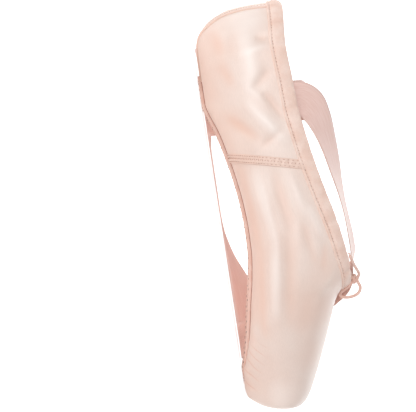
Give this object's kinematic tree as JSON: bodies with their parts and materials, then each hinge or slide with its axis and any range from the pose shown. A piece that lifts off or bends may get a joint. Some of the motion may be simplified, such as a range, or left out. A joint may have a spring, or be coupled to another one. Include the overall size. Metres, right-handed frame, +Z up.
{
  "type": "pointe shoe",
  "caption": "Satin pointe shoe with a flat toe platform, arched leather sole, cotton collar binding, loose satin ribbons and a knotted drawstring.",
  "frame": {"origin": "on the floor, under the middle of the shoe's box", "axes": "+X toward the toe platform, +Y toward the shoe's left side, +Z up"},
  "size_m": [0.234, 0.1877, 0.0841],
  "materials": {
    "satin": "shiny champagne-pink satin",
    "cotton_casing": "matt pink cotton, puckered",
    "satin_tab": "satin strip with rows of stitching",
    "sole_leather": "matt pink leather with a stitched channel",
    "insole_lining": "plain woven lining over board",
    "satin_ribbon": "pink satin ribbon, shiny on one side",
    "cotton_cord": "matt pink cotton cord"
  },
  "bodies": {
    "root": {"upper": "satin", "collar_binding": "cotton_casing", "back_tab": "satin_tab", "outsole": "sole_leather", "insole": "insole_lining", "ribbon_right": "satin_ribbon", "ribbon_left": "satin_ribbon", "drawstring_knot": "cotton_cord", "drawstring_loop": "cotton_cord", "drawstring_end": "cotton_cord"}
  },
  "joints": []
}
